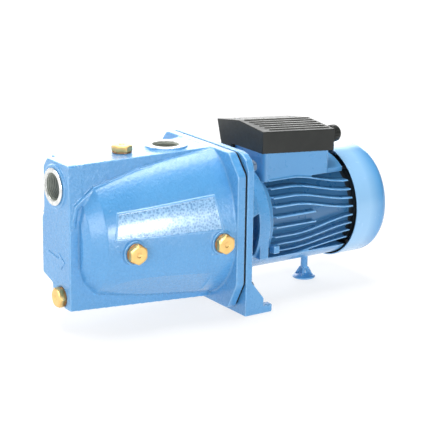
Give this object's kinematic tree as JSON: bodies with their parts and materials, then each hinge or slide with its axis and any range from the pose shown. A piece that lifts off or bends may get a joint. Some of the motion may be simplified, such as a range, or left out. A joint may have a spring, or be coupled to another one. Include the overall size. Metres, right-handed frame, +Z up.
{
  "type": "shallow well jet pump",
  "caption": "Blue self-priming shallow well jet pump: cast casing with suction and discharge ports, finned motor, black terminal box lid and fan cover.",
  "frame": {"origin": "middle of the footprint of the whole pump, on the ground under its feet", "axes": "+X along the shaft from the suction port to the fan cover, +Z up, the side plugs are on the -Y side"},
  "size_m": [0.4492, 0.1882, 0.2205],
  "materials": {
    "blue_cast_paint": "gloss",
    "blue_sheet_paint": "gloss",
    "brass": "satin",
    "copper_washer": "satin",
    "copper_winding": "satin",
    "black_rubber": "matte",
    "grey_plastic": "matte",
    "black_plastic": "satin",
    "pale_plastic": "gloss",
    "bright_steel": "polished",
    "zinc_plated_steel": "satin",
    "laminated_steel": "matte",
    "pale_ceramic": "satin"
  },
  "bodies": {
    "pump": {"pump_casing": "blue_cast_paint", "motor_bracket": "blue_cast_paint", "motor_frame": "blue_cast_paint", "support_foot": "blue_cast_paint", "rear_end_shield": "blue_cast_paint", "fan_cover": "blue_sheet_paint", "side_plug_front": "brass", "side_plug_rear": "brass", "jet_nozzle": "brass", "side_plug_front_washer": "copper_washer", "side_plug_rear_washer": "copper_washer", "winding_front": "copper_winding", "winding_rear": "copper_winding", "casing_gasket": "black_rubber", "diffuser_seal_ring": "black_rubber", "lid_gasket": "black_rubber", "gland_grommet": "black_rubber", "diffuser": "grey_plastic", "terminal_box_lid": "black_plastic", "gland_body": "black_plastic", "gland_dome_nut": "black_plastic", "terminal_board": "pale_plastic", "run_capacitor": "pale_plastic", "front_bearing_outer_ring": "bright_steel", "rear_bearing_outer_ring": "bright_steel", "casing_bolt_1": "zinc_plated_steel", "casing_bolt_2": "zinc_plated_steel", "casing_bolt_3": "zinc_plated_steel", "casing_bolt_4": "zinc_plated_steel", "tie_rod_1": "zinc_plated_steel", "tie_rod_2": "zinc_plated_steel", "tie_rod_3": "zinc_plated_steel", "tie_rod_4": "zinc_plated_steel", "fan_cover_screw_1": "zinc_plated_steel", "fan_cover_screw_2": "zinc_plated_steel", "fan_cover_screw_3": "zinc_plated_steel", "lid_screw_1": "zinc_plated_steel", "lid_screw_2": "zinc_plated_steel", "stator_core": "laminated_steel", "seal_seat": "pale_ceramic"},
    "rotor": {"shaft": "bright_steel", "rotor_core": "laminated_steel", "impeller": "brass", "impeller_key": "bright_steel", "impeller_nut": "bright_steel", "seal_rotary_head": "bright_steel", "water_slinger": "black_rubber", "cooling_fan": "black_plastic", "fan_circlip": "bright_steel", "front_bearing_inner_ring": "bright_steel", "front_bearing_ball_cage": "bright_steel", "rear_bearing_inner_ring": "bright_steel", "rear_bearing_ball_cage": "bright_steel"},
    "priming_plug_body": {"priming_plug": "brass", "priming_plug_washer": "copper_washer"},
    "drain_plug_body": {"drain_plug": "brass", "drain_plug_washer": "copper_washer"}
  },
  "joints": [
    {"name": "rotor_spin", "type": "hinge", "parent": "pump", "child": "rotor", "pos_m": [0.0906, 0.0036, 0.101], "axis": [1, 0, 0], "continuous": true},
    {"name": "priming_plug_pull", "type": "slide", "parent": "pump", "child": "priming_plug_body", "axis": [0, 0, 1], "range_m": [0, 0.03]},
    {"name": "drain_plug_pull", "type": "slide", "parent": "pump", "child": "drain_plug_body", "axis": [-1, 0, 0], "range_m": [0, 0.03]}
  ]
}
